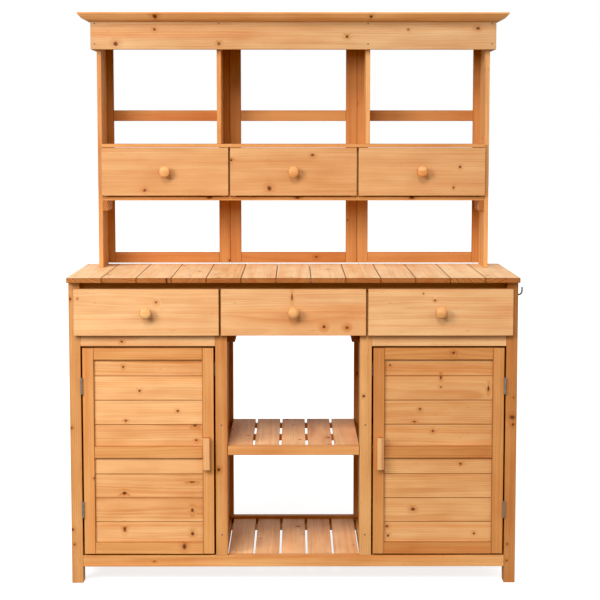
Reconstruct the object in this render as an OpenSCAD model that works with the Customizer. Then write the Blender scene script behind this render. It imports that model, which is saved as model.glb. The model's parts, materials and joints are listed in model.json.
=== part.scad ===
// Potting bench with a drawer and door base and a hutch with drawers.
// Millimetres. The front faces -Y and +Z is up. The origin is on the floor, under the
// middle of the width and the middle of the overall depth, knobs included.

/* [Worktop] */
// Width of the worktop
bench_w = 1280; // [1000:10:1600]
// Depth of the worktop, front edge to back edge
top_d = 450; // [380:10:560]
// Height of the worktop's upper face
bench_h = 886; // [730:1:1070]
// Thickness of the worktop boards
top_t = 14; // [10:1:24]
// Number of worktop boards
top_board_n = 13; // [8:1:20]
// Gap between worktop boards
top_board_gap = 1.2; // [0.4:0.1:4]
// Overhang of the worktop past the legs at each side
side_overhang = 2; // [0:1:20]
// Overhang of the worktop past the legs at the front
front_overhang = 25; // [16:1:60]

/* [Base frame] */
// Width of an outer leg, across the bench
leg_w = 32; // [24:1:50]
// Depth of the legs and inner posts, front to back
leg_d = 40; // [30:1:60]
// Width of an inner post
post_w = 34; // [24:1:50]
// Offset of the inner posts toward the open bay, from the joint between drawer fronts
post_shift = 2.5; // [0:0.5:8]
// Thickness of the long rails, front to back
rail_t = 22; // [16:1:28]
// Height of the bottom rails
bottom_rail_h = 32.5; // [26:0.5:50]
// Clearance between the floor and the bottom rails
ground_gap = 48; // [20:1:90]
// Rise of the back bottom rail over the floor slats
back_rail_rise = 8; // [0:1:20]
// Height of the rails right under the worktop
apron_h = 30; // [20:1:36]
// Height of the header rails over the doors
header_h = 33.5; // [24:0.5:50]
// Lap of the header rails behind the drawer fronts
header_lap = 1; // [0:1:7]
// Thickness of the front-to-back rails
cross_rail_t = 22; // [14:1:24]

/* [Boards and slats] */
// Thickness of side, partition and back boards
panel_t = 12; // [8:1:14]
// Face width of the side, partition and back boards
panel_board_w = 70; // [50:1:110]
// Thickness of the floor and shelf slats
slat_t = 12; // [9:1:16]
// Number of slats in each bay
slat_n = 5; // [3:1:7]
// Gap between slats
slat_gap = 7; // [3:0.5:14]
// Width of the bearers under the slats
bearer_w = 20; // [14:1:26]
// Seam left between boards that lie edge to edge
seam = 0.2; // [0.1:0.05:0.4]

/* [Open bay shelf] */
// Height of the open bay shelf's upper face
shelf_h = 400; // [300:1:520]
// Space between the open bay shelf's back edge and the back of the bench
shelf_back_gap = 25; // [0:1:60]
// Height of the shelf's front rail
shelf_rail_h = 26; // [20:1:40]
// Width of the shelf's side rails
shelf_side_w = 16; // [12:1:24]
// Play between the shelf and the posts at each side
shelf_play = 1; // [0.5:0.5:3]
// Height of the batten under the middle of the slats
mid_batten_h = 17; // [12:1:26]

/* [Base drawers] */
// Height of a base drawer front
drawer_front_h = 132.5; // [110:0.5:160]
// Thickness of a base drawer front
drawer_front_t = 15; // [12:1:20]
// Gap between the worktop's underside and the drawer fronts
drawer_top_gap = 18.5; // [10:0.5:30]
// Gap between neighbouring base drawer fronts
drawer_front_gap = 6; // [2:0.5:10]
// Width of leg left showing beside the outer drawer fronts
drawer_reveal = 15.5; // [6:0.5:20]
// Gap between the drawer fronts and the frame behind them
drawer_face_gap = 0.4; // [0.3:0.1:2]
// Height of a base drawer box's lower edge over its front's lower edge
drawer_box_up = 13; // [8:1:40]
// Gap between a base drawer box and the rail over it
drawer_head_gap = 8; // [3:1:30]
// Space between a base drawer box and the back boards
drawer_back_gap = 49; // [5:1:90]
// Play at each side of a base drawer box
drawer_play = 2; // [1:0.5:4]
// Height of the drawer runners
runner_h = 36; // [20:1:44]
// Width of the drawer runners
runner_w = 22; // [12:1:24]
// Clearance between a drawer box and what it slides on
slide_gap = 0.4; // [0.3:0.1:1]
// Thickness of drawer sides and backs
drawer_side_t = 12; // [8:1:15]
// Thickness of drawer bottoms
drawer_bottom_t = 4; // [3:0.5:8]
// Height of a drawer bottom over the lower edge of the sides
drawer_bottom_up = 5; // [2:1:10]

/* [Knobs] */
// Diameter of a knob's cap
knob_d = 34; // [26:1:42]
// Reach of a knob in front of its drawer
knob_reach = 27; // [22:1:36]
// Length of a knob's cap
knob_cap_l = 11.5; // [8:0.5:12]
// Thickness of the cap's straight rim
knob_rim_l = 2; // [1:0.5:3]
// Diameter of a knob's neck
knob_neck_d = 17; // [12:1:18]
// Length of the flare between neck and cap
knob_flare_l = 3; // [1:0.5:3]
// Diameter of a knob's foot
knob_foot_d = 21; // [18:1:26]
// Length of a knob's foot
knob_foot_l = 4; // [2:0.5:4]

/* [Doors] */
// Gap between a door and the frame on every side
door_gap = 4.7; // [3:0.1:6]
// Thickness of the door frames
door_t = 20; // [16:1:24]
// Width of the door stiles
stile_w = 32; // [26:1:60]
// Height of the door rails
door_rail_h = 34; // [24:1:60]
// Height of the middle rail's lower edge over the door's lower edge
mid_rail_up = 280; // [200:1:340]
// Thickness of the door boards
door_board_t = 10; // [7:1:12]
// Face width of the door boards
door_board_w = 70; // [50:1:100]
// Width cut off the lowest board of a door's upper panel
upper_board_cut = 7; // [0:1:14]
// Width cut off the lowest board of a door's lower panel
lower_board_cut = 11; // [0:1:14]
// Set-back of the door boards behind the door frame's face
door_recess = 6; // [2:1:6]
// Width of a door handle
handle_w = 19.5; // [12:0.5:24]
// Height of a door handle
handle_h = 93; // [60:1:140]
// Reach of a door handle in front of its door
handle_reach = 20; // [14:1:24]
// Height of a handle's lower end over the door's lower edge
handle_up = 249; // [150:1:300]
// Distance from a handle to the inner edge of its stile
handle_inset = 1; // [0:0.5:2]
// Chamfer along the inner edge of a door handle
handle_chamfer = 7; // [2:0.5:9]

/* [Hinges and catches] */
// Height of a butt hinge
hinge_h = 48; // [36:1:70]
// Distance from the door's upper edge to the upper hinge's middle
hinge_from_top = 109; // [60:1:160]
// Distance from the door's lower edge to the lower hinge's middle
hinge_from_bottom = 131; // [60:1:160]
// Thickness of a hinge leaf
leaf_t = 1.2; // [0.8:0.1:1.3]
// Depth of a hinge leaf
leaf_d = 16; // [12:1:16]
// Outer diameter of a hinge knuckle
knuckle_d = 6.4; // [5:0.1:7]
// Diameter of a hinge pin
pin_d = 3.2; // [2:0.1:3.4]
// Radial clearance of a hinge pin in a turning knuckle
pin_clearance = 0.05; // [0.03:0.01:0.1]
// Gap between the knuckles of a hinge
knuckle_gap = 0.4; // [0.3:0.1:0.8]
// Gap between the knuckles and the faces behind them
knuckle_face_gap = 0.4; // [0.3:0.1:1]
// Diameter of the hinge screws' heads
screw_head_d = 5.6; // [4:0.2:6.4]
// Thickness of the hinge screws' heads
screw_head_t = 0.5; // [0.3:0.1:0.5]
// Clearance round a screw in its leaf
screw_clearance = 0.2; // [0.1:0.05:0.4]
// Diameter of the hinge screws' shanks
screw_d = 2.8; // [2:0.1:3.2]
// Length of the hinge screws
screw_l = 14; // [8:1:18]
// Width of a door catch
catch_w = 14; // [10:1:24]
// Depth of a door catch
catch_d = 14; // [8:1:24]
// Height of a door catch
catch_h = 40; // [20:1:50]
// Distance from the door's upper edge to a catch's lower end
catch_drop = 85; // [50:1:120]
// Distance from the catch's plate to the door's edge
plate_inset = 3; // [1:1:6]
// Gap between a catch and the plate on the door
catch_gap = 0.5; // [0.3:0.1:1]
// Thickness of the plate that a catch holds
plate_t = 1; // [0.8:0.1:2]

/* [Hutch] */
// Overall height of the bench with its hutch
overall_h = 1648; // [1450:1:2000]
// Set-back of the hutch's side boards from the ends of the worktop
hutch_inset = 51.5; // [20:0.5:120]
// Depth of the hutch, side boards and back frames together
hutch_d = 135; // [110:1:200]
// Thickness of the side boards and partitions
hutch_board_t = 13; // [10:1:18]
// Thickness of the back frames
back_frame_t = 14; // [10:1:18]
// Width of the back frames' stiles
back_stile_w = 34; // [24:1:50]
// Height of the back frames' rails
back_rail_h = 33; // [24:1:50]
// Gap under the back frames
back_frame_gap = 4; // [0:1:10]
// Gap between neighbouring back frames
back_frame_seam = 0.5; // [0.2:0.1:2]
// Height of the back frames' middle rail over the worktop
back_mid_rail_up = 443; // [400:1:520]
// Height of the drawer board's upper face over the worktop
drawer_board_up = 215; // [150:1:260]
// Thickness of the drawer board
drawer_board_t = 11.5; // [9:0.5:18]
// Height of the cleats under the drawer board
cleat_h = 31; // [20:1:45]
// Width of the cleats under the drawer board
cleat_w = 15; // [10:1:24]
// Thickness of the shelf over the drawers
hutch_shelf_t = 10; // [8:1:16]
// Set-back of the partitions from the stiles' edges behind them
partition_inset = 0.5; // [0:0.5:8]
// Thickness of the top board
top_board_t = 12; // [8:1:14]

/* [Hutch drawers] */
// Height of a hutch drawer front
hutch_front_h = 144; // [110:1:160]
// Thickness of a hutch drawer front
hutch_front_t = 12; // [10:1:16]
// Gap between the drawer board and the hutch drawer fronts
hutch_front_up = 3.5; // [1:0.5:6]
// Gap between a hutch drawer front and what is beside or over it
hutch_front_gap = 5; // [2:0.5:8]
// Width of side board left showing beside the outer drawer fronts
hutch_reveal = 11.5; // [5:0.5:12]
// Gap between the hutch drawer fronts and the shelf over them
hutch_shelf_gap = 1; // [0.5:0.5:4]
// Gap between a hutch drawer box and the shelf over it
hutch_head_gap = 36; // [3:1:60]
// Space between a hutch drawer box and the back frames
hutch_back_gap = 15; // [5:1:40]
// Thickness of the dividers between the hutch drawers
divider_t = 12; // [8:1:15]

/* [Fascia and cornice] */
// Height of the fascia
fascia_h = 82.5; // [50:0.5:120]
// Thickness of the fascia and its returns
fascia_t = 16; // [12:1:20]
// Height of the cornice
cornice_h = 25; // [20:1:40]
// Height of the cornice's flat edge
cornice_edge_h = 4; // [2:0.5:8]
// Drop of the cornice's bevel
cornice_bevel_h = 13; // [8:1:16]
// Run of the cornice's bevel
cornice_bevel_w = 11; // [6:1:16]
// Reach of the cornice past the fascia
cornice_reach = 34.5; // [20:0.5:50]
// Step between the fascia and the cornice's moulding
cornice_step = 4; // [1:0.5:10]

/* [Hooks] */
// Diameter of the hook wire
hook_wire_d = 4.2; // [2.5:0.1:5]
// Inner radius of a hook's bend
hook_bend_r = 8; // [5:0.5:12]
// Length of a hook's straight tip
hook_tip_l = 12; // [4:1:20]
// Length of a hook's shank outside the leg
hook_shank_l = 3.2; // [3:0.1:12]
// Length of a hook's shank in the leg
hook_bite = 18; // [10:1:20]
// Height of the hooks' shanks below the worktop's underside
hook_drop = 38; // [20:1:120]

/* [Hidden] */

// Colours
frame_colour = "peru";
board_colour = "burlywood";
inner_colour = "sandybrown";
steel_colour = "silver";

// Depth positions: the knobs stand in front of the worktop's edge by knob_lead
knob_lead = max(0, knob_reach + drawer_face_gap + drawer_front_t - front_overhang);
back_y = (top_d + knob_lead) / 2;
top_y = back_y - top_d;
frame_y = top_y + front_overhang;
leg_back_y = back_y - leg_d;

// Width positions
frame_x = bench_w / 2 - side_overhang;
leg_x = frame_x - leg_w;
fronts_w = 2 * (frame_x - drawer_reveal);
drawer_front_w = (fronts_w - 2 * drawer_front_gap) / 3;
post_mid_x = (drawer_front_w + drawer_front_gap) / 2 - post_shift;
post_x = post_mid_x - post_w / 2;
post_out_x = post_mid_x + post_w / 2;
side_mid_x = frame_x - leg_w / 2;

// Height positions
under_top_z = bench_h - top_t;
apron_z = under_top_z - apron_h;
floor_z = ground_gap + bottom_rail_h;
back_rail_top_z = floor_z + back_rail_rise;
drawer_front_z = under_top_z - drawer_top_gap - drawer_front_h;
header_top_z = drawer_front_z + header_lap;
header_z = header_top_z - header_h;
door_z = floor_z + door_gap;
door_h = header_z - door_gap - door_z;
door_w = leg_x - post_out_x - 2 * door_gap;
door_x = post_out_x + door_gap;
bearer_h = bottom_rail_h - slat_t;

// Base drawers: the three fronts share the width between the reveals
drawer_box_z = drawer_front_z + drawer_box_up;
drawer_box_h = apron_z - drawer_head_gap - drawer_box_z;
drawer_front_y = frame_y - drawer_face_gap - drawer_front_t;
back_board_y = leg_back_y + (leg_d - panel_t) / 2;
drawer_box_d = back_board_y - drawer_back_gap - frame_y + drawer_face_gap;
centre_box_w = 2 * (post_x - drawer_play);
side_box_w = leg_x - post_out_x - 2 * drawer_play;
side_bay_x = (leg_x + post_out_x) / 2;

// Hinges: the pin stands just in front of the frame, in the middle of the door's gap
pivot_x = leg_x - door_gap / 2;
pivot_y = frame_y - knuckle_face_gap - knuckle_d / 2;
hinge_zs = [door_z + hinge_from_bottom, door_z + door_h - hinge_from_top];
knuckle_h = (hinge_h - 2 * knuckle_gap) / 3;
hinge_screw_zs = [-knuckle_h, 0, knuckle_h];
knuckle_bore_d = pin_d + 2 * pin_clearance;

// Hutch
hutch_x = bench_w / 2 - hutch_inset;
hutch_in_x = hutch_x - hutch_board_t;
hutch_y = back_y - hutch_d;
back_frame_y = back_y - back_frame_t;
drawer_board_z = bench_h + drawer_board_up;
hutch_front_z = drawer_board_z + hutch_front_up;
hutch_shelf_z = hutch_front_z + hutch_front_h + hutch_shelf_gap;
cornice_z = overall_h - cornice_h;
fascia_z = cornice_z - fascia_h;
top_board_z = overall_h - top_board_t;
hutch_fronts_w = 2 * (hutch_x - hutch_reveal);
hutch_front_w = (hutch_fronts_w - 2 * hutch_front_gap) / 3;
hutch_front_y = hutch_y - drawer_face_gap - hutch_front_t;
divider_x = (hutch_front_w + hutch_front_gap) / 2;
hutch_centre_box_w = 2 * divider_x - divider_t - 2 * drawer_play;
hutch_side_box_w = hutch_in_x - divider_x - divider_t / 2 - 2 * drawer_play;
hutch_side_box_x = (hutch_in_x + divider_x + divider_t / 2) / 2;
hutch_box_h = hutch_shelf_z - hutch_head_gap - drawer_board_z - slide_gap;
hutch_box_d = back_frame_y - hutch_back_gap - hutch_y + drawer_face_gap;
back_frame_w = (2 * hutch_x - 2 * back_frame_seam) / 3;
partition_out_x = back_frame_w / 2 + back_frame_seam + back_stile_w - partition_inset;

// The cornice's section: x runs outward from the hutch's face, y up from the fascia
cornice_w = fascia_t + cornice_reach;
cornice_section = [
  [0, 0], [fascia_t + cornice_step, 0],
  [cornice_w - cornice_bevel_w, cornice_h - cornice_edge_h - cornice_bevel_h],
  [cornice_w, cornice_h - cornice_edge_h], [cornice_w, cornice_h], [0, cornice_h]
];

// A board given by its lowest and highest corners
module board(low, high) {
  translate(low) cube(high - low);
}

// The child and its mirror image across the bench's middle
module both_sides() {
  children();
  mirror([1, 0, 0]) children();
}

// side is -1 on the left and 1 on the right
module on_side(side) {
  mirror([side < 0 ? 1 : 0, 0, 0]) children();
}

// Boards lying along X, stacked upward from low to high, the last one cut to fit
module stacked_boards(low, high, board_w, first_cut = 0) {
  span = high.z - low.z;
  n = ceil((span + first_cut) / board_w - 0.15);
  for (i = [0:n - 1]) {
    z0 = low.z + (i == 0 ? 0 : i * board_w - first_cut);
    z1 = i == n - 1 ? high.z : low.z + (i + 1) * board_w - first_cut;
    board([low.x, low.y, z0 + (i == 0 ? 0 : seam)], [high.x, high.y, z1]);
  }
}

// Slats running front to back, sharing the width from low to high
module slat_row(low, high) {
  slat_w = (high.x - low.x - (slat_n - 1) * slat_gap) / slat_n;
  for (i = [0:slat_n - 1]) {
    x = low.x + i * (slat_w + slat_gap);
    board([x, low.y, low.z], [x + slat_w, high.y, high.z]);
  }
}

// ---- Base frame ----

module leg(side, y) {
  color(frame_colour) on_side(side)
    board([leg_x, y, 0], [frame_x, y + leg_d, under_top_z]);
}

module leg_front_left() { leg(-1, frame_y); }
module leg_front_right() { leg(1, frame_y); }
module leg_back_left() { leg(-1, leg_back_y); }
module leg_back_right() { leg(1, leg_back_y); }

module inner_posts() {
  color(frame_colour) both_sides() {
    board([post_x, frame_y, floor_z], [post_out_x, frame_y + leg_d, apron_z]);
    board([post_x, leg_back_y, back_rail_top_z], [post_out_x, back_y, apron_z]);
  }
}

module bottom_rails() {
  color(frame_colour) {
    board([-leg_x, frame_y, ground_gap], [leg_x, frame_y + rail_t, floor_z]);
    board([-leg_x, back_y - rail_t, ground_gap + back_rail_rise],
          [leg_x, back_y, back_rail_top_z]);
  }
}

// Front-to-back rails under and over the side boards and partitions
module cross_rails() {
  half = cross_rail_t / 2;
  color(frame_colour) both_sides() {
    for (z = [[ground_gap, floor_z], [apron_z, under_top_z]])
      board([side_mid_x - half, frame_y + leg_d, z[0]],
            [side_mid_x + half, leg_back_y, z[1]]);
    board([post_mid_x - half, frame_y + rail_t, ground_gap],
          [post_mid_x + half, back_y - rail_t, floor_z]);
    board([post_mid_x - half, frame_y + leg_d, apron_z],
          [post_mid_x + half, back_y - rail_t, under_top_z]);
  }
}

// The front apron is set back, flush with the backs of the front legs
module aprons() {
  color(frame_colour) {
    board([-leg_x, frame_y + leg_d - rail_t, apron_z], [leg_x, frame_y + leg_d, under_top_z]);
    board([-leg_x, back_y - rail_t, apron_z], [leg_x, back_y, under_top_z]);
  }
}

module door_headers() {
  color(frame_colour) both_sides()
    board([post_out_x, frame_y, header_z], [leg_x, frame_y + rail_t, header_top_z]);
}

// ---- Boards ----

// Boards between a front and a back upright, centred on the line x
module upright_boards(x) {
  color(board_colour) both_sides()
    stacked_boards([x - panel_t / 2, frame_y + leg_d, floor_z],
                   [x + panel_t / 2, leg_back_y, apron_z], panel_board_w);
}

module side_boards() { upright_boards(side_mid_x); }
module partition_boards() { upright_boards(post_mid_x); }

module back_boards() {
  color(board_colour) both_sides()
    stacked_boards([post_out_x, back_board_y, back_rail_top_z],
                   [leg_x, back_board_y + panel_t, apron_z], panel_board_w);
}

// ---- Floors and shelves ----

module floor_slats() {
  y0 = frame_y + rail_t;
  y1 = back_y - rail_t;
  z0 = floor_z - slat_t;
  half = post_x - shelf_play;
  color(inner_colour) {
    slat_row([-half, y0, z0], [half, y1, floor_z]);
    both_sides()
      slat_row([post_out_x + shelf_play, y0, z0], [leg_x - shelf_play, y1, floor_z]);
  }
}

// Bearers under the floor slats, and the cleats under the cabinet shelves
module slat_bearers() {
  half = cross_rail_t / 2;
  post_in = post_mid_x - half;
  post_out = post_mid_x + half;
  bays = [[-post_in, post_in], [post_out, leg_x], [-leg_x, -post_out]];
  color(frame_colour) {
    for (bay = bays)
      for (y = [frame_y + rail_t, back_y - rail_t - bearer_w])
        board([bay[0], y, ground_gap], [bay[1], y + bearer_w, ground_gap + bearer_h]);
    both_sides()
      for (x = [post_out_x, leg_x - shelf_side_w])
        board([x, frame_y + rail_t + door_gap, shelf_h - shelf_rail_h],
              [x + shelf_side_w, back_board_y, shelf_h - slat_t]);
  }
}

module open_shelf_frame() {
  half = post_x - shelf_play;
  z0 = shelf_h - shelf_rail_h;
  z1 = shelf_h - slat_t;
  back = back_y - shelf_back_gap;
  inner = half - shelf_side_w;
  mid_y = (frame_y + rail_t + back) / 2;
  color(frame_colour) {
    board([-half, frame_y, z0], [half, frame_y + rail_t, shelf_h]);
    both_sides()
      board([inner + seam, frame_y + rail_t + seam, z0], [half, back, z1]);
    board([-inner, back - rail_t, z0], [inner, back, z1]);
    board([-inner, mid_y, z1 - mid_batten_h], [inner, mid_y + bearer_w, z1]);
  }
}

module open_shelf_slats() {
  half = post_x - shelf_play;
  color(inner_colour)
    slat_row([-half, frame_y + rail_t, shelf_h - slat_t],
             [half, back_y - shelf_back_gap, shelf_h]);
}

module cabinet_shelves() {
  color(inner_colour) both_sides()
    slat_row([post_out_x + shelf_play, frame_y + rail_t + bearer_w, shelf_h - slat_t],
             [leg_x - shelf_play, back_board_y - shelf_play, shelf_h]);
}

// ---- Worktop ----

module worktop_boards() {
  pitch = bench_w / top_board_n;
  color(board_colour)
    for (i = [0:top_board_n - 1]) {
      x = -bench_w / 2 + i * pitch;
      first = i == 0 ? 0 : top_board_gap / 2;
      last = i == top_board_n - 1 ? 0 : top_board_gap / 2;
      board([x + first, top_y, under_top_z], [x + pitch - last, back_y, bench_h]);
    }
}

// ---- Drawers ----

module drawer_runners() {
  z0 = drawer_box_z - slide_gap - runner_h;
  z1 = drawer_box_z - slide_gap;
  color(frame_colour) both_sides() {
    board([post_x - runner_w, frame_y + rail_t, z0], [post_x, back_y, z1]);
    board([post_out_x, frame_y + rail_t, z0], [post_out_x + runner_w, back_board_y, z1]);
    board([leg_x - runner_w, frame_y + rail_t, z0], [leg_x, back_board_y, z1]);
  }
}

// A front board centred on x
module drawer_front(x, w, y, t, z, h) {
  color(board_colour) board([x - w / 2, y, z], [x + w / 2, y + t, z + h]);
}

// Sides, back and bottom of a drawer box centred on x, behind the line y
module drawer_box(x, w, y, d, z, h) {
  inner = w / 2 - drawer_side_t;
  floor_low = z + drawer_bottom_up;
  floor_high = floor_low + drawer_bottom_t;
  color(inner_colour) translate([x, 0, 0]) {
    both_sides() board([inner, y, z], [w / 2, y + d, z + h]);
    board([-inner + seam, y + d - drawer_side_t, floor_high + seam],
          [inner - seam, y + d, z + h]);
    board([-inner + seam, y, floor_low], [inner - seam, y + d, floor_high]);
  }
}

// A turned mushroom knob whose foot stands on the plane y, facing the front
module knob(x, y, z) {
  neck_end = knob_reach - knob_cap_l;
  dome_z = neck_end + knob_rim_l;
  dome_h = knob_cap_l - knob_rim_l;
  foot_round = (knob_foot_d - knob_neck_d) / 2;
  outline = concat(
    [[0, 0], [knob_foot_d / 2, 0], [knob_foot_d / 2, knob_foot_l]],
    [[knob_neck_d / 2, knob_foot_l + foot_round]],
    [[knob_neck_d / 2, neck_end - knob_flare_l]],
    [[knob_d / 2 - knob_rim_l, neck_end]],
    [for (a = [0:10:90]) [knob_d / 2 * cos(a), dome_z + dome_h * sin(a)]]);
  color(frame_colour) translate([x, y, z]) rotate([90, 0, 0])
    rotate_extrude($fn = 64) polygon(outline);
}

// slot is -1 for the left drawer, 0 for the centre one and 1 for the right one
module base_front(slot) {
  drawer_front(slot * (drawer_front_w + drawer_front_gap), drawer_front_w,
               drawer_front_y, drawer_front_t, drawer_front_z, drawer_front_h);
}

module base_box(slot) {
  drawer_box(slot * side_bay_x, slot == 0 ? centre_box_w : side_box_w,
             drawer_front_y + drawer_front_t, drawer_box_d, drawer_box_z, drawer_box_h);
}

module base_knob(slot) {
  knob(slot * (drawer_front_w + drawer_front_gap), drawer_front_y,
       drawer_front_z + drawer_front_h / 2);
}

module drawer_left_front() { base_front(-1); }
module drawer_left_box() { base_box(-1); }
module drawer_left_knob() { base_knob(-1); }
module drawer_centre_front() { base_front(0); }
module drawer_centre_box() { base_box(0); }
module drawer_centre_knob() { base_knob(0); }
module drawer_right_front() { base_front(1); }
module drawer_right_box() { base_box(1); }
module drawer_right_knob() { base_knob(1); }

module top_front(slot) {
  drawer_front(slot * (hutch_front_w + hutch_front_gap), hutch_front_w,
               hutch_front_y, hutch_front_t, hutch_front_z, hutch_front_h);
}

module top_box(slot) {
  drawer_box(slot * hutch_side_box_x, slot == 0 ? hutch_centre_box_w : hutch_side_box_w,
             hutch_front_y + hutch_front_t, hutch_box_d,
             drawer_board_z + slide_gap, hutch_box_h);
}

module top_knob(slot) {
  knob(slot * (hutch_front_w + hutch_front_gap), hutch_front_y,
       hutch_front_z + hutch_front_h / 2);
}

module hutch_drawer_left_front() { top_front(-1); }
module hutch_drawer_left_box() { top_box(-1); }
module hutch_drawer_left_knob() { top_knob(-1); }
module hutch_drawer_centre_front() { top_front(0); }
module hutch_drawer_centre_box() { top_box(0); }
module hutch_drawer_centre_knob() { top_knob(0); }
module hutch_drawer_right_front() { top_front(1); }
module hutch_drawer_right_box() { top_box(1); }
module hutch_drawer_right_knob() { top_knob(1); }

// ---- Doors, drawn for the right-hand side ----

module door_frame(side) {
  x1 = door_x + door_w;
  y1 = frame_y + door_t;
  in0 = door_x + stile_w + seam;
  in1 = x1 - stile_w - seam;
  rail_zs = [door_z, door_z + mid_rail_up, door_z + door_h - door_rail_h];
  color(frame_colour) on_side(side) {
    for (x = [door_x, x1 - stile_w])
      board([x, frame_y, door_z], [x + stile_w, y1, door_z + door_h]);
    for (z = rail_zs)
      board([in0, frame_y, z], [in1, y1, z + door_rail_h]);
  }
}

module door_boards(side) {
  x0 = door_x + stile_w;
  x1 = door_x + door_w - stile_w;
  y0 = frame_y + door_recess;
  y1 = y0 + door_board_t;
  mid_z = door_z + mid_rail_up;
  color(board_colour) on_side(side) {
    stacked_boards([x0, y0, door_z + door_rail_h], [x1, y1, mid_z],
                   door_board_w, lower_board_cut);
    stacked_boards([x0, y0, mid_z + door_rail_h], [x1, y1, door_z + door_h - door_rail_h],
                   door_board_w, upper_board_cut);
  }
}

// The handle stands on the stile beside the open bay, flush with the stile's inner edge
module door_handle(side) {
  x1 = door_x + stile_w - handle_inset;
  x0 = x1 - handle_w;
  y0 = frame_y - handle_reach;
  section = [[x0, frame_y], [x0, y0], [x1 - handle_chamfer, y0],
             [x1, y0 + handle_chamfer], [x1, frame_y]];
  color(board_colour) on_side(side) translate([0, 0, door_z + handle_up])
    linear_extrude(handle_h) polygon(section);
}

// One leaf plate: its edge starts at the frame's face and it lies on the plane x
module leaf(x, z) {
  difference() {
    board([x, frame_y, z - hinge_h / 2], [x + leaf_t, frame_y + leaf_d, z + hinge_h / 2]);
    for (dz = hinge_screw_zs)
      translate([x - 1, frame_y + leaf_d / 2, z + dz]) rotate([0, 90, 0])
        cylinder(h = leaf_t + 2, d = screw_d + 2 * screw_clearance, $fn = 32);
  }
}

// A knuckle of height h from z up, joined to a leaf on the plane x
module knuckle(x, z, h) {
  difference() {
    union() {
      translate([pivot_x, pivot_y, z]) cylinder(h = h, d = knuckle_d, $fn = 48);
      board([x, pivot_y, z], [x + leaf_t, frame_y + leaf_t, z + h]);
    }
    translate([pivot_x, pivot_y, z - 1]) cylinder(h = h + 2, d = knuckle_bore_d, $fn = 48);
  }
}

// Screws through a leaf; way is 1 when they are driven toward +X
module hinge_screws(x, z, way) {
  for (dz = hinge_screw_zs)
    translate([x, frame_y + leaf_d / 2, z + dz]) rotate([0, way * 90, 0]) {
      cylinder(h = screw_l, d = screw_d, $fn = 32);
      translate([0, 0, -screw_head_t]) cylinder(h = screw_head_t, d = screw_head_d, $fn = 32);
    }
}

// Door leaves, their screws and the catch's plate
module door_fittings(side) {
  edge_x = door_x + door_w;
  plate_low = [door_x + plate_inset, frame_y + door_t, door_z + door_h - catch_drop];
  color(steel_colour) on_side(side) {
    for (z = hinge_zs) {
      leaf(edge_x, z);
      knuckle(edge_x, z - knuckle_h / 2, knuckle_h);
      hinge_screws(edge_x + leaf_t + seam, z, -1);
    }
    board(plate_low, plate_low + [catch_w, plate_t, catch_h]);
  }
}

module hinge_frame_leaves() {
  x = leg_x - leaf_t;
  step = knuckle_h + knuckle_gap;
  color(steel_colour) both_sides()
    for (z = hinge_zs) {
      leaf(x, z);
      for (dz = [-step, step])
        knuckle(x, z + dz - knuckle_h / 2, knuckle_h);
      translate([pivot_x, pivot_y, z - hinge_h / 2]) cylinder(h = hinge_h, d = pin_d, $fn = 48);
    }
}

module hinge_frame_screws() {
  color(steel_colour) both_sides()
    for (z = hinge_zs)
      hinge_screws(leg_x - leaf_t - seam, z, 1);
}

module door_catches() {
  low = [post_out_x, frame_y + door_t + plate_t + catch_gap, door_z + door_h - catch_drop];
  color(steel_colour) both_sides() board(low, low + [catch_w, catch_d, catch_h]);
}

module door_left_frame() { door_frame(-1); }
module door_left_boards() { door_boards(-1); }
module door_left_handle() { door_handle(-1); }
module door_left_fittings() { door_fittings(-1); }
module door_right_frame() { door_frame(1); }
module door_right_boards() { door_boards(1); }
module door_right_handle() { door_handle(1); }
module door_right_fittings() { door_fittings(1); }

// ---- Hutch ----

module hutch_sides() {
  color(board_colour) both_sides()
    board([hutch_in_x, hutch_y, bench_h], [hutch_x, back_frame_y, top_board_z]);
}

// Three ladder frames side by side, each two stiles and three rails
module hutch_back_frames() {
  w = back_frame_w;
  z0 = bench_h + back_frame_gap;
  rail_zs = [z0, bench_h + back_mid_rail_up, top_board_z - back_rail_h];
  color(frame_colour)
    for (i = [0:2]) {
      x = -hutch_x + i * (w + back_frame_seam);
      for (stile_x = [x, x + w - back_stile_w])
        board([stile_x, back_frame_y, z0], [stile_x + back_stile_w, back_y, top_board_z]);
      for (z = rail_zs)
        board([x + back_stile_w + seam, back_frame_y, z],
              [x + w - back_stile_w - seam, back_y, z + back_rail_h]);
    }
}

module hutch_drawer_board() {
  color(board_colour)
    board([-hutch_in_x, hutch_y, drawer_board_z - drawer_board_t],
          [hutch_in_x, back_frame_y, drawer_board_z]);
}

module hutch_cleats() {
  z1 = drawer_board_z - drawer_board_t;
  color(frame_colour) both_sides()
    board([hutch_in_x - cleat_w, hutch_y, z1 - cleat_h], [hutch_in_x, back_frame_y, z1]);
}

// The shelf's front edge is flush with the drawer fronts below it
module hutch_shelf() {
  color(board_colour)
    board([-hutch_in_x, hutch_front_y, hutch_shelf_z],
          [hutch_in_x, back_frame_y, hutch_shelf_z + hutch_shelf_t]);
}

module hutch_dividers() {
  color(inner_colour) both_sides()
    board([divider_x - divider_t / 2, hutch_y, drawer_board_z],
          [divider_x + divider_t / 2, back_frame_y, hutch_shelf_z]);
}

module hutch_partitions() {
  color(board_colour) both_sides()
    board([partition_out_x - hutch_board_t, hutch_y, hutch_shelf_z + hutch_shelf_t],
          [partition_out_x, back_frame_y, top_board_z]);
}

module hutch_top_board() {
  color(board_colour)
    board([-hutch_x, hutch_y, top_board_z], [hutch_x, back_y, overall_h]);
}

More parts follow.
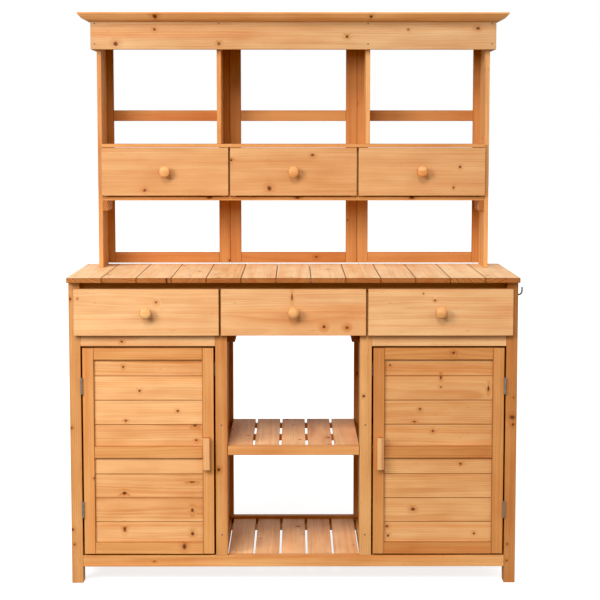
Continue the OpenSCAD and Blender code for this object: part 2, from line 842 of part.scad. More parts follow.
module hutch_fascia() {
  front_y = hutch_y - fascia_t;
  color(board_colour) {
    board([-hutch_x - fascia_t, front_y, fascia_z], [hutch_x + fascia_t, hutch_y, cornice_z]);
    both_sides()
      board([hutch_x, hutch_y + seam, fascia_z], [hutch_x + fascia_t, back_y, cornice_z]);
  }
}

// A length of moulding along X from x0 to x1 at its back, which lies on the plane y = 0.
// Its outer side faces -Y. An end whose mitre is 1 is mitred past x0 or x1.
module moulding(x0, x1, mitre_0, mitre_1) {
  big = 4 * cornice_w;
  difference() {
    translate([x0 - mitre_0 * cornice_w, 0, 0]) rotate([90, 0, 90])
      mirror([1, 0, 0])
      linear_extrude(x1 - x0 + (mitre_0 + mitre_1) * cornice_w) polygon(cornice_section);
    if (mitre_0 == 1)
      translate([x0, 0, -1]) rotate([0, 0, -45]) translate([-big, -big / 2, 0])
        cube([big, big, cornice_h + 2]);
    if (mitre_1 == 1)
      translate([x1, 0, -1]) rotate([0, 0, 45]) translate([0, -big / 2, 0])
        cube([big, big, cornice_h + 2]);
  }
}

module hutch_cornice() {
  color(board_colour) translate([0, 0, cornice_z]) {
    translate([0, hutch_y, 0]) moulding(-hutch_x, hutch_x, 1, 1);
    translate([hutch_x, hutch_y + seam, 0]) rotate([0, 0, 90])
      moulding(0, hutch_d - seam, 1, 0);
    translate([-hutch_x, hutch_y + seam, 0]) rotate([0, 0, -90])
      moulding(seam - hutch_d, 0, 0, 1);
  }
}

// ---- Hooks ----

// A screw hook: a shank along X, a bend upward and a straight tip
module hook(y) {
  r = hook_bend_r + hook_wire_d / 2;
  translate([frame_x, y, under_top_z - hook_drop]) {
    translate([-hook_bite, 0, 0]) rotate([0, 90, 0])
      cylinder(h = hook_bite + hook_shank_l, d = hook_wire_d, $fn = 32);
    translate([hook_shank_l, 0, r]) rotate([90, 0, 0]) rotate([0, 0, -90])
      rotate_extrude(angle = 90, $fn = 48) translate([r, 0]) circle(d = hook_wire_d, $fn = 32);
    translate([hook_shank_l + r, 0, r]) cylinder(h = hook_tip_l, d = hook_wire_d, $fn = 32);
  }
}

module hooks() {
  color("dimgray")
    for (y = [frame_y + leg_d / 2, leg_back_y + leg_d / 2])
      hook(y);
}

leg_front_left();
leg_front_right();
leg_back_left();
leg_back_right();
inner_posts();
bottom_rails();
cross_rails();
aprons();
door_headers();
side_boards();
partition_boards();
back_boards();
floor_slats();
slat_bearers();
open_shelf_frame();
open_shelf_slats();
cabinet_shelves();
worktop_boards();
drawer_runners();
drawer_left_front();
drawer_left_box();
drawer_left_knob();
drawer_centre_front();
drawer_centre_box();
drawer_centre_knob();
drawer_right_front();
drawer_right_box();
drawer_right_knob();
door_left_frame();
door_left_boards();
door_left_handle();
door_left_fittings();
door_right_frame();
door_right_boards();
door_right_handle();
door_right_fittings();
hinge_frame_leaves();
hinge_frame_screws();
door_catches();
hutch_sides();
hutch_back_frames();
hutch_partitions();
hutch_drawer_board();
hutch_cleats();
hutch_shelf();
hutch_dividers();
hutch_top_board();
hutch_fascia();
hutch_cornice();
hutch_drawer_left_front();
hutch_drawer_left_box();
hutch_drawer_left_knob();
hutch_drawer_centre_front();
hutch_drawer_centre_box();
hutch_drawer_centre_knob();
hutch_drawer_right_front();
hutch_drawer_right_box();
hutch_drawer_right_knob();
hooks();
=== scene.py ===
import json
import math

import bmesh
import bpy
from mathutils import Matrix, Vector


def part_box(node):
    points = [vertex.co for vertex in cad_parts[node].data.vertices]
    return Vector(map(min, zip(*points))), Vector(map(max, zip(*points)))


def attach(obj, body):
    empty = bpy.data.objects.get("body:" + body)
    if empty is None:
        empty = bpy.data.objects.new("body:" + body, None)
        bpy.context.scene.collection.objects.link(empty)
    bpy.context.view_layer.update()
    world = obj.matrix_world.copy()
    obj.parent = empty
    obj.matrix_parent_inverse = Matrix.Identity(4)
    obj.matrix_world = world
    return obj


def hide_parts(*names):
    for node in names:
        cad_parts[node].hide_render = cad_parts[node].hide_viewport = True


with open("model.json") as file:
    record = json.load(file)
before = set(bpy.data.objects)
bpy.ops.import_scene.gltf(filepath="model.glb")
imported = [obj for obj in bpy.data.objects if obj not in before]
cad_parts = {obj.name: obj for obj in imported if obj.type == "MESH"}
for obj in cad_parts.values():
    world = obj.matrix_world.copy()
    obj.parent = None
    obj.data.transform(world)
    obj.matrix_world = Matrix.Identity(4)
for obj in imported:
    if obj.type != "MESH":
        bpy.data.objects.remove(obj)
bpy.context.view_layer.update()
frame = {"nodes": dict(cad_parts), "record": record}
nodes = frame["nodes"]

MM = 0.001


def link(name, data):
    """A new object in the scene."""
    made = bpy.data.objects.new(name, data)
    bpy.context.scene.collection.objects.link(made)
    return made


# ---- Node graphs ----

class Graph:
    """Builds a node tree: each call adds a node, sets or links its inputs and returns an output."""

    def __init__(self, tree):
        self.tree = tree

    def node(self, kind, inputs=(), **settings):
        made = self.tree.nodes.new(kind)
        for name, setting in settings.items():
            setattr(made, name, setting)
        for key, value in dict(inputs).items():
            self.feed(made.inputs[key], value)
        return made

    def feed(self, socket, value):
        if isinstance(value, bpy.types.NodeSocket):
            self.tree.links.new(value, socket)
        else:
            socket.default_value = value

    def math(self, operation, *values):
        return self.node("ShaderNodeMath", enumerate(values), operation=operation).outputs[0]

    def vector(self, operation, *values, output=0):
        made = self.node("ShaderNodeVectorMath", operation=operation)
        for index, value in enumerate(values):
            self.feed(made.inputs[index], value)
        return made.outputs[output]

    def dot(self, a, b):
        return self.vector("DOT_PRODUCT", a, b, output=1)

    def times(self, a, b):
        return self.math("MULTIPLY", a, b)

    def plus(self, a, b):
        return self.math("ADD", a, b)

    def minus(self, a, b):
        return self.math("SUBTRACT", a, b)

    def over(self, a, b):
        return self.math("DIVIDE", a, b)

    def scaled(self, vector, factor):
        made = self.node("ShaderNodeVectorMath", {0: vector, "Scale": factor}, operation="SCALE")
        return made.outputs[0]

    def combine(self, x, y, z):
        return self.node("ShaderNodeCombineXYZ", enumerate((x, y, z))).outputs[0]

    def split(self, vector):
        return self.node("ShaderNodeSeparateXYZ", [(0, vector)]).outputs[:]

    def ranged(self, value, low, high, to_low, to_high, **settings):
        ends = {"Value": value, "From Min": low, "From Max": high,
                "To Min": to_low, "To Max": to_high}
        return self.node("ShaderNodeMapRange", ends, **settings).outputs[0]

    def line(self, value, low, high, to_low, to_high):
        return self.ranged(value, low, high, to_low, to_high, clamp=True)

    def step(self, value, low, high, to_low=0.0, to_high=1.0):
        return self.ranged(value, low, high, to_low, to_high, interpolation_type="SMOOTHSTEP")

    def fade(self, value, low, high):
        """One up to low, and none from high on."""
        return self.step(value, low, high, 1.0, 0.0)

    def noise(self, vector, scale=1.0, detail=2.0, roughness=0.5, output=0):
        inputs = {"Vector": vector, "Scale": scale, "Detail": detail, "Roughness": roughness}
        return self.node("ShaderNodeTexNoise", inputs).outputs[output]

    def wander(self, vector, scale, amount):
        """Noise either side of zero."""
        return self.times(self.minus(self.noise(vector, scale, 1.0), 0.5), amount)

    def mix(self, factor, a, b, blend="MIX"):
        made = self.node("ShaderNodeMix", data_type="RGBA", blend_type=blend)
        for index, value in ((0, factor), (6, a), (7, b)):
            self.feed(made.inputs[index], value)
        return made.outputs[2]

    def tinted(self, factor, colour, tint):
        """A colour times a tint, as far as the factor says."""
        return self.mix(factor, colour, self.mix(1.0, colour, tint, "MULTIPLY"))

    def attribute(self, name):
        return self.node("ShaderNodeAttribute", attribute_name=name).outputs["Vector"]


# ---- Board data: where each board of a node is, and which way it lies ----

WELD = 0.01 * MM        # points closer than this are one
X, Y, Z = (1, 0, 0), (0, 1, 0), (0, 0, 1)


def choose(g, condition, if_true, if_false):
    made = g.node("GeometryNodeSwitch", input_type="VECTOR")
    for index, value in enumerate((condition, if_false, if_true)):
        g.feed(made.inputs[index], value)
    return made.outputs[0]


def longer(g, a, b):
    return g.node("FunctionNodeCompare", enumerate((a, b)), operation="GREATER_THAN").outputs[0]


def board_axes(g, sizes):
    """Along a board, across its wide face and into it, from its half sizes in x, y and z."""
    x, y, z = g.split(sizes)
    both = (longer(g, x, y), longer(g, x, z))
    x_longest = g.node("FunctionNodeBooleanMath", enumerate(both), operation="AND").outputs[0]
    z_longest = longer(g, z, y)
    along = choose(g, x_longest, X, choose(g, z_longest, Z, Y))
    wide_if_x = choose(g, longer(g, z, y), Z, Y)
    wide_if_z = choose(g, longer(g, x, y), X, Y)
    wide_if_y = choose(g, longer(g, x, z), X, Z)
    across = choose(g, x_longest, wide_if_x, choose(g, z_longest, wide_if_z, wide_if_y))
    return along, across, g.vector("CROSS_PRODUCT", along, across)


def joined_boards(g, source):
    """The node's faces joined into boards, shaded smooth for the bevel to sharpen."""
    merge = {"Geometry": source, "Distance": WELD}
    joined = g.node("GeometryNodeMergeByDistance", merge).outputs[0]
    drop = {"Geometry": joined, "Name": "custom_normal"}
    made = g.node("GeometryNodeRemoveAttribute", drop).outputs[0]
    for domain in ("FACE", "EDGE"):
        smooth = {"Geometry": made, "Shade Smooth": True}
        made = g.node("GeometryNodeSetShadeSmooth", smooth, domain=domain).outputs[0]
    return made


def board_data_group():
    """Joins a node's faces into boards and gives each board its centre, axes and half sizes."""
    tree = bpy.data.node_groups.new("board_data", "GeometryNodeTree")
    tree.interface.new_socket("Geometry", in_out="INPUT", socket_type="NodeSocketGeometry")
    tree.interface.new_socket("Geometry", in_out="OUTPUT", socket_type="NodeSocketGeometry")
    g = Graph(tree)
    made = joined_boards(g, g.node("NodeGroupInput").outputs[0])
    island = g.node("GeometryNodeInputMeshIsland").outputs["Island Index"]

    reach = g.node("GeometryNodeFieldMinAndMax", data_type="FLOAT_VECTOR", domain="POINT")
    g.feed(reach.inputs["Value"], g.node("GeometryNodeInputPosition").outputs[0])
    g.feed(reach.inputs["Group ID"], island)
    low, high = reach.outputs["Min"], reach.outputs["Max"]
    centre = g.scaled(g.vector("ADD", low, high), 0.5)
    sizes = g.scaled(g.vector("SUBTRACT", high, low), 0.5)
    along, across, deep = board_axes(g, sizes)
    half = g.combine(*[g.math("ABSOLUTE", g.dot(sizes, axis)) for axis in (along, across, deep)])

    stored = {"board_centre": centre, "board_along": along, "board_across": across,
              "board_half": half}
    for name, value in stored.items():
        store = g.node("GeometryNodeStoreNamedAttribute", {"Geometry": made, "Name": name},
                       data_type="FLOAT_VECTOR", domain="POINT")
        g.feed(store.inputs["Value"], value)
        made = store.outputs[0]
    g.node("NodeGroupOutput", [(0, made)])
    return tree


EASED_EDGE = 1.0 * MM
SHARP = math.radians(30)


def finish_boards(node, group):
    """Eases the edges of a node's boards and gives them their board data."""
    data = node.modifiers.new("board_data", "NODES")
    data.node_group = group
    bevel = node.modifiers.new("eased_edges", "BEVEL")
    bevel.width = EASED_EDGE
    bevel.segments = 2
    bevel.limit_method = "ANGLE"
    bevel.angle_limit = SHARP
    bevel.harden_normals = True


# ---- Wood: lengths in these patterns are in mm ----

SEED_SCALE = (41.3, 37.7, 43.9)     # uneven, so that boards draw unlike numbers
SEED_SPAN = (0.3, 0.7)              # where nearly all of the noise lies
LOG_LENGTH = 900.0                  # how far along the log two boards may be apart
LOG_WIDTH = 700.0                   # and how far across it, for their knots

KNOT_CELL = 80.0                    # the width of the cell that may hold a knot
KNOT_CELL_LENGTH = KNOT_CELL * 1.3
KNOT_RADII = (2.0, 5.0)             # the smallest and the largest
NO_KNOT = 40.0                      # in knot radii, past the reach of any halo
KNOT_WOBBLE = 0.9
CORE_FADE = (0.6, 1.35)             # in knot radii, as the two below
PITH_FADE = (0.25, 0.75)
HALO_FADE = (0.9, 4.0)
HALO_BEND = 5.0                     # how far the rings pass round a knot

PITH_ACROSS = (-150.0, 150.0)       # where the log's pith lies from the board's middle
PITH_DEEP = (45.0, 150.0)
RING_BEND = 11.0
RING_SPACING = (2.8, 5.2)           # the closest and the widest
UNEVEN_RINGS = 1.8                  # in rings

BEND_SIZE = (420.0, 70.0)           # along and across the grain, as the sizes below
STREAK_SIZE = (300.0, 4.2)
BAND_SIZE = (650.0, 17.0)
PATCH_SIZE = (120.0, 45.0)
FLECK_SIZE = (22.0, 1.6)
FIBRE_LENGTH = 60.0
MEAN_DEPTH = 0.36                   # how far the stain is from pale to deep
MAX_DEPTH = 1.2
# What each pattern adds to the depth, and the value at which it adds nothing
DEPTH_OF = {"late": (0.22, 0.3), "fibre": (0.5, 0.5), "streak": (0.68, 0.5),
            "band": (0.9, 0.5), "patch": (0.6, 0.5), "halo": (0.3, 0.0)}
END_FACING = (0.6, 0.8)             # how squarely a face crosses the grain
WORN_EDGE = (0.4, 2.4)              # from the board's edge, as the seam
# The dark seam is partly stain and partly painted shade in the joints between boards; it reaches
# this far from the edge.
SEAM_SHADE_REACH = (0.4, 1.8)
THIN_BOARD = (0.35, 0.7)            # thickness to width
SIDE_FACING = (0.55, 0.8)           # how squarely a face is the board's wide one

REDDISH = (1.0, 0.78, 0.6, 1)
FLECK = (0.16, 0.055, 0.015, 1)
HEART_PALE = (0.16, 0.042, 0.008, 1)
HEART_DEEP = (0.11, 0.026, 0.005, 1)
PITH = (0.05, 0.011, 0.003, 1)
END_EARLY = (0.72, 0.56, 0.40, 1)
END_LATE = (0.42, 0.26, 0.14, 1)
WORN = (0.78, 0.66, 0.5, 1)
# Stain and painted shade in the joints between boards
SEAM_STAIN_AND_SHADE = (0.13, 0.035, 0.006, 1)
STAINED_SIDE = (0.7, 0.5, 0.3, 1)

ROUGHNESS = 0.46
BUMP_HEIGHT = 0.4 * MM
BUMP_STRENGTH = 0.35
WOOD_SPECULAR = 0.28


class Board:
    """What a shader knows of the board it is on: the place along, across and into it, and seeds."""

    def __init__(self, g):
        self.g = g
        centre = g.attribute("board_centre")
        self.along_axis = g.attribute("board_along")
        across_axis = g.attribute("board_across")
        self.deep_axis = g.vector("CROSS_PRODUCT", self.along_axis, across_axis)
        coordinates = g.node("ShaderNodeTexCoord").outputs
        self.normal = coordinates["Normal"]
        self.local = g.scaled(g.vector("SUBTRACT", coordinates["Object"], centre), 1 / MM)
        self.along = g.dot(self.local, self.along_axis)
        self.across = g.dot(self.local, across_axis)
        self.deep = g.dot(self.local, self.deep_axis)
        self.half = [g.times(part, 1 / MM) for part in g.split(g.attribute("board_half"))]
        drawn = g.noise(g.vector("MULTIPLY", centre, SEED_SCALE), detail=0, output=1)
        self.seed_a, self.seed_b, self.seed_c = [g.line(part, *SEED_SPAN, 0.0, 1.0)
                                                 for part in g.split(drawn)]
        self.run = g.plus(self.along, g.times(self.seed_a, LOG_LENGTH))

    def stretched(self, length, width):
        """A place that changes slowly along the grain and faster across it."""
        g = self.g
        return g.combine(g.over(self.run, length), g.over(self.across, width),
                         g.over(self.deep, width))


def knot_distance(g, board, given):
    """Distance to the nearest knot in knot radii: some cells of a Voronoi pattern hold one."""
    u = g.over(board.run, KNOT_CELL_LENGTH)
    v = g.over(g.plus(board.across, g.times(board.seed_b, LOG_WIDTH)), KNOT_CELL)
    cells = g.node("ShaderNodeTexVoronoi", {"Vector": g.combine(u, v, 0.0), "Scale": 1.0},
                   voronoi_dimensions="2D")
    chance, size, _ = g.split(cells.outputs["Color"])
    radius = g.line(size, 0.0, 1.0, *KNOT_RADII)
    far = g.times(g.math("GREATER_THAN", chance, given["Knots"]), NO_KNOT)
    ratio = g.over(g.times(cells.outputs["Distance"], KNOT_CELL), radius)
    nearest = g.math("MINIMUM", g.plus(ratio, far), given["Placed knots"])
    return g.plus(nearest, g.wander(board.local, 0.12, KNOT_WOBBLE))


def growth_rings(g, board, halo):
    """How far the grain bends, the place among the rings, and how late in a ring it is."""
    bend = g.wander(board.stretched(*BEND_SIZE), 1.0, RING_BEND)
    offsets = (g.plus(board.across, g.line(board.seed_b, 0.0, 1.0, *PITH_ACROSS)),
               g.plus(board.deep, g.line(board.seed_c, 0.0, 1.0, *PITH_DEEP)))
    squares = [g.math("POWER", offset, 2.0) for offset in offsets]
    from_pith = g.math("SQRT", g.plus(*squares))
    ring_at = g.plus(g.plus(from_pith, bend), g.times(halo, HALO_BEND))
    spacing = g.line(board.seed_a, 0.0, 1.0, *RING_SPACING)
    drift = g.noise(g.combine(g.over(ring_at, 11.0), 0.0, board.seed_c), 1.0, 0.0)
    turn = g.math("FRACT", g.plus(g.over(ring_at, spacing), g.times(drift, UNEVEN_RINGS)))
    late = g.times(g.step(turn, 0.2, 0.85), g.fade(turn, 0.9, 1.0))
    return bend, ring_at, late


def clear_wood(g, board, given, halo, bend, ring_at, late):
    """The colour of the wood between its knots, and its fibres."""
    def at(size, seed):
        """A place that changes slowly along the grain and faster across the rings."""
        length, width = size
        return g.combine(g.over(board.run, length), g.over(ring_at, width), seed)

    fibre_at = g.combine(g.over(board.run, FIBRE_LENGTH), g.plus(board.across, bend), board.deep)
    band_at = at(BAND_SIZE, board.seed_a)
    fibre = g.noise(fibre_at, 1.1, 3.0, 0.65)
    parts = {"late": late, "fibre": fibre, "halo": halo,
             "streak": g.noise(at(STREAK_SIZE, board.seed_c), 1.0, 2.0, 0.6),
             "band": g.noise(band_at, 1.0, 1.0),
             "patch": g.noise(board.stretched(*PATCH_SIZE), 1.0, 1.0)}
    depth = g.plus(g.times(g.minus(board.seed_c, 0.5), given["Variation"]), MEAN_DEPTH)
    for name, (share, middle) in DEPTH_OF.items():
        depth = g.plus(depth, g.times(g.minus(parts[name], middle), share))
    wood = g.mix(g.line(depth, 0.0, MAX_DEPTH, 0.0, MAX_DEPTH), given["Pale"], given["Deep"])
    redness = g.times(g.step(g.noise(band_at, 0.8, 1.0), 0.45, 0.7), g.plus(board.seed_b, 0.3))
    return g.tinted(g.times(redness, 0.5), wood, REDDISH), fibre


def edge_distance(g, board):
    """Distance to the nearest edge of the board."""
    places = (board.along, board.across, board.deep)
    gaps = [g.minus(size, g.math("ABSOLUTE", place)) for size, place in zip(board.half, places)]
    least = g.math("MINIMUM", gaps[0], gaps[1])
    most = g.math("MAXIMUM", gaps[0], gaps[1])
    return g.math("MAXIMUM", least, g.math("MINIMUM", most, gaps[2]))


def stained_worn_and_seam_shaded(g, board, given, wood, late):
    """Wood with stained ends, worn edges, seams darkened by stain and painted shade, and stained
    narrow faces.
    """
    facing = g.math("ABSOLUTE", g.dot(board.normal, board.along_axis))
    wood = g.tinted(g.step(facing, *END_FACING), wood, g.mix(late, END_EARLY, END_LATE))
    edge = edge_distance(g, board)
    rub = g.step(g.noise(board.local, 0.035, 2.0), 0.3, 0.65, 0.2, 0.7)
    wood = g.tinted(g.times(g.fade(edge, *WORN_EDGE), rub), wood, WORN)
    # Painted shade, with some stain, darkens each board along its edges where it meets the next
    wood = g.mix(g.times(g.fade(edge, *SEAM_SHADE_REACH), given["Seam stain and shade"]), wood, SEAM_STAIN_AND_SHADE)
    thin = g.fade(g.over(board.half[2], board.half[1]), *THIN_BOARD)
    upright = g.math("ABSOLUTE", g.dot(board.normal, board.deep_axis))
    side = g.times(thin, g.fade(upright, *SIDE_FACING))
    return g.tinted(g.times(side, given["Edge stain"]), wood, STAINED_SIDE)


def wood_group():
    """Softwood cut from a log: growth rings round a pith, fibres, knots, and tone per board."""
    tree = bpy.data.node_groups.new("softwood", "ShaderNodeTree")
    number, colour = "NodeSocketFloat", "NodeSocketColor"
    inputs = {"Pale": colour, "Deep": colour, "Knots": number, "Variation": number,
              "Seam stain and shade": number, "Edge stain": number, "Placed knots": number}
    outputs = {"Colour": colour, "Roughness": number, "Height": number}
    for way, sockets in (("INPUT", inputs), ("OUTPUT", outputs)):
        for name, kind in sockets.items():
            tree.interface.new_socket(name, in_out=way, socket_type=kind)
    g = Graph(tree)
    given = g.node("NodeGroupInput").outputs
    board = Board(g)

    knot = knot_distance(g, board, given)
    core = g.fade(knot, *CORE_FADE)
    pith = g.fade(knot, *PITH_FADE)
    halo = g.fade(knot, *HALO_FADE)
    bend, ring_at, late = growth_rings(g, board, halo)
    wood, fibre = clear_wood(g, board, given, halo, bend, ring_at, late)

    # Short dark flecks where the surface tore or holds resin, then the knots.
    fleck = g.step(g.noise(board.stretched(*FLECK_SIZE), 1.0, 0.0), 0.79, 0.88)
    wood = g.mix(g.times(fleck, 0.5), wood, FLECK)
    heart = g.mix(g.math("FRACT", g.times(knot, 2.5)), HEART_PALE, HEART_DEEP)
    wood = g.mix(g.times(core, 0.85), wood, heart)
    wood = g.mix(g.times(pith, 0.7), wood, PITH)
    wood = stained_worn_and_seam_shaded(g, board, given, wood, late)

    rough = g.plus(g.times(fibre, 0.22), g.times(late, -0.08))
    rough = g.plus(rough, g.plus(g.times(core, 0.2), ROUGHNESS))
    height = g.plus(g.times(fibre, 0.6), g.times(late, 0.35))
    height = g.plus(height, g.times(g.plus(pith, fleck), -0.8))
    g.node("NodeGroupOutput", {"Colour": wood, "Roughness": rough, "Height": height})
    return tree


def knot_field(g, spots):
    """Distance to the nearest placed knot, in knot radii, seen from the front."""
    place = g.node("ShaderNodeTexCoord").outputs["Object"]
    nearest = NO_KNOT
    for x, z, radius, tall in spots:
        away = g.vector("SUBTRACT", place, (x, 0.0, z))
        wide, high = 1 / (radius * MM), 1 / (radius * tall * MM)
        size = g.vector("LENGTH", g.vector("MULTIPLY", away, (wide, 0.0, high)), output=1)
        nearest = g.math("MINIMUM", size, nearest)
    return nearest


def new_material(name):
    """An empty material and its graph."""
    made = bpy.data.materials.new(name)
    made.use_nodes = True
    made.node_tree.nodes.clear()
    return made, Graph(made.node_tree)


def wood_material(name, group, pale, deep, knots=0.35, variation=0.4, seam_stain_and_shade=0.0,
                  edge_stain=0.2, spots=()):
    """Softwood from its pale and deep colours, with the share of cells that hold a knot."""
    made, g = new_material(name)
    inputs = {"Pale": (*pale, 1), "Deep": (*deep, 1), "Knots": knots, "Variation": variation,
              "Seam stain and shade": seam_stain_and_shade, "Edge stain": edge_stain}
    pattern = g.node("ShaderNodeGroup", node_tree=group)
    for key, value in inputs.items():
        pattern.inputs[key].default_value = value
    g.feed(pattern.inputs["Placed knots"], knot_field(g, spots))
    bump = g.node("ShaderNodeBump", {"Height": pattern.outputs["Height"],
                                     "Strength": BUMP_STRENGTH, "Distance": BUMP_HEIGHT})
    shader = g.node("ShaderNodeBsdfPrincipled", {
        "Base Color": pattern.outputs["Colour"], "Roughness": pattern.outputs["Roughness"],
        "Normal": bump.outputs[0], "Specular IOR Level": WOOD_SPECULAR})
    g.node("ShaderNodeOutputMaterial", {"Surface": shader.outputs[0]})
    return made


# ---- Turned knobs ----

KNOB_SEGMENTS = 48
FOOT_SHARE = 0.62               # of the knob's radius
NECK_SHARE = 0.47
DOME_SHARE = 0.31               # of the knob's length
DOME_STEP = 6                   # degrees
FOOT_ROUND = 0.8 * MM
FOOT_TOP = 3.0 * MM
LOW_COVE = 3.0 * MM
LOW_COVE_AT = 6.2 * MM
HIGH_COVE = 4.0 * MM
NECK_END = 5.0 * MM             # below the rim
RIM_ROUND = 1.4 * MM
RIM_BAND = 2.0 * MM


def new_piece(name, mesh_builder, material, body):
    """A new object whose mesh the builder makes, on a body."""
    mesh = bpy.data.meshes.new(name)
    made = link(name, mesh)
    b = bmesh.new()
    mesh_builder(b)
    bmesh.ops.recalc_face_normals(b, faces=b.faces)
    b.to_mesh(mesh)
    b.free()
    mesh.materials.append(material)
    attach(made, body)
    return made


def arc(centre, radius, start, end, count):
    """Points of an arc, in degrees: 0 points outward and 90 toward the tip."""
    angles = [math.radians(start + (end - start) * i / count) for i in range(count + 1)]
    return [(centre[0] + radius * math.cos(a), centre[1] + radius * math.sin(a)) for a in angles]


def knob_profile(radius, reach):
    """Half section of a turned knob: (distance from the axis, distance from the drawer)."""
    foot = FOOT_SHARE * radius
    neck = NECK_SHARE * radius
    dome = DOME_SHARE * reach
    rim = reach - dome - RIM_BAND
    outline = [(0.0, 0.0), (foot, 0.0)]
    outline += arc((foot - FOOT_ROUND, FOOT_TOP - FOOT_ROUND), FOOT_ROUND, 0, 90, 4)
    outline += arc((neck + LOW_COVE, LOW_COVE_AT), LOW_COVE, 250, 180, 6)
    outline += [(neck, rim - NECK_END)]
    outline += arc((neck + HIGH_COVE, rim - HIGH_COVE), HIGH_COVE, 180, 110, 6)
    outline += arc((radius - RIM_ROUND, rim + RIM_ROUND), RIM_ROUND, 270, 360, 6)
    rise = [math.radians(a) for a in range(DOME_STEP, 90, DOME_STEP)]
    outline += [(radius * math.cos(a), rim + RIM_BAND + dome * math.sin(a)) for a in rise]
    return outline + [(0.0, reach)]


def lathe(b, outline, axis_point, segments):
    """Turns an outline round the line through axis_point that faces the front."""
    turns = [2 * math.pi * i / segments for i in range(segments)]
    rings = []
    for distance, reach in outline:
        y = axis_point.y - reach
        if distance == 0:
            rings.append([b.verts.new((axis_point.x, y, axis_point.z))])
            continue
        rings.append([b.verts.new((axis_point.x + distance * math.cos(t), y,
                                   axis_point.z + distance * math.sin(t))) for t in turns])
    for inner, outer in zip(rings, rings[1:]):
        for i in range(segments):
            j = (i + 1) % segments
            order = [inner[i % len(inner)], inner[j % len(inner)],
                     outer[j % len(outer)], outer[i % len(outer)]]
            b.faces.new([v for n, v in enumerate(order) if v not in order[:n]])


def set_board_data(mesh, centre, along, across, half):
    """The board data that wood reads, for a piece that is one board."""
    given = {"board_centre": centre, "board_along": along, "board_across": across,
             "board_half": half}
    for name, value in given.items():
        layer = mesh.attributes.new(name, "FLOAT_VECTOR", "POINT")
        layer.data.foreach_set("vector", list(value) * len(mesh.vertices))


def knob(node_name, body, material):
    """A turned knob in the place of the CAD's plain one."""
    low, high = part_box(node_name)
    radius = (high.x - low.x) / 2
    root = Vector(((low.x + high.x) / 2, high.y, (low.z + high.z) / 2))
    outline = knob_profile(radius, high.y - low.y)
    made = new_piece("turned_" + node_name, lambda b: lathe(b, outline, root, KNOB_SEGMENTS),
                     material, body)
    for face in made.data.polygons:
        face.use_smooth = True
    half = (high - low) / 2
    set_board_data(made.data, (low + high) / 2, X, Z, (half.x, half.z, half.y))
    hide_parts(node_name)


# ---- Nail heads ----

NAIL_SEGMENTS = 20
# Half section of a nail head: (distance from the axis, distance from the wood)
NAIL_OUTLINE = [(0.0, 0.0), (2.3 * MM, 0.0), (2.3 * MM, 0.2 * MM), (1.7 * MM, 0.45 * MM),
                (0.0, 0.6 * MM)]
# Where the nails are, as shares of a node's width and height
NAILS = {"hutch_fascia": [(x, z) for x in (0.01, 0.316, 0.684, 0.99) for z in (0.2, 0.93)],
         "inner_posts": [(x, z) for x in (0.04, 0.96) for z in (0.08, 0.5)]}


def nail_heads(material):
    """The nail heads of the fascia and the inner posts, as one piece."""
    def build(b):
        for node_name, places in NAILS.items():
            low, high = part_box(node_name)
            for x, z in places:
                point = Vector((low.x + x * (high.x - low.x), low.y, low.z + z * (high.z - low.z)))
                lathe(b, NAIL_OUTLINE, point, NAIL_SEGMENTS)

    made = new_piece("nail_heads", build, material, "bench")


# ---- Metal ----

CLOUDS_PER_METRE = 220.0
SCRATCHES_PER_METRE = (900.0, 900.0, 6000.0)
SCRATCH_DEPTH = 0.05 * MM
ZINC = {"bright": (0.46, 0.44, 0.41), "dull": (0.28, 0.27, 0.25), "metallic": 1.0,
        "roughness": 0.3}
BLACK = {"bright": (0.012, 0.012, 0.012), "dull": (0.03, 0.028, 0.025), "metallic": 0.0,
         "roughness": 0.45, "specular": 0.3}
NAIL = {"bright": (0.17, 0.14, 0.11), "dull": (0.09, 0.06, 0.04), "metallic": 0.3,
        "roughness": 0.5, "specular": 0.3}


def metal_material(name, bright, dull, metallic, roughness, specular=0.5):
    """Plated or coated metal with fine scratches and cloudy wear."""
    made, g = new_material(name)
    place = g.node("ShaderNodeTexCoord").outputs["Object"]
    cloud = g.noise(place, CLOUDS_PER_METRE, 3.0, 0.6)
    scratch = g.noise(g.vector("MULTIPLY", place, SCRATCHES_PER_METRE), 1.0, 2.0)
    tone = g.mix(g.step(cloud, 0.35, 0.7), (*bright, 1), (*dull, 1))
    rough = g.plus(g.times(cloud, 0.25), roughness)
    bump = g.node("ShaderNodeBump", {"Height": scratch, "Strength": 0.15,
                                     "Distance": SCRATCH_DEPTH})
    shader = g.node("ShaderNodeBsdfPrincipled", {
        "Base Color": tone, "Roughness": rough, "Normal": bump.outputs[0],
        "Metallic": metallic, "Specular IOR Level": specular})
    g.node("ShaderNodeOutputMaterial", {"Surface": shader.outputs[0]})
    return made


# ---- Floor, light and camera ----

FLOOR_HALF = 30.0
FLOOR_PAINT = {"Base Color": (0.4, 0.4, 0.4, 1), "Roughness": 0.9, "Specular IOR Level": 0.1,
               "Emission Color": (1, 1, 1, 1), "Emission Strength": 0.8}


def floor():
    """A plain pale floor that throws no light back on the bench."""
    mesh = bpy.data.meshes.new("floor")
    made = link("floor", mesh)
    b = bmesh.new()
    bmesh.ops.create_grid(b, x_segments=1, y_segments=1, size=FLOOR_HALF)
    b.to_mesh(mesh)
    b.free()
    paint = bpy.data.materials.new("floor_paint")
    paint.use_nodes = True
    shader = paint.node_tree.nodes["Principled BSDF"]
    for name, value in FLOOR_PAINT.items():
        shader.inputs[name].default_value = value
    mesh.materials.append(paint)
    made.visible_diffuse = False
    made.visible_glossy = False


WORLD_LIGHT = 0.32
WORLD_SEEN = 1.0


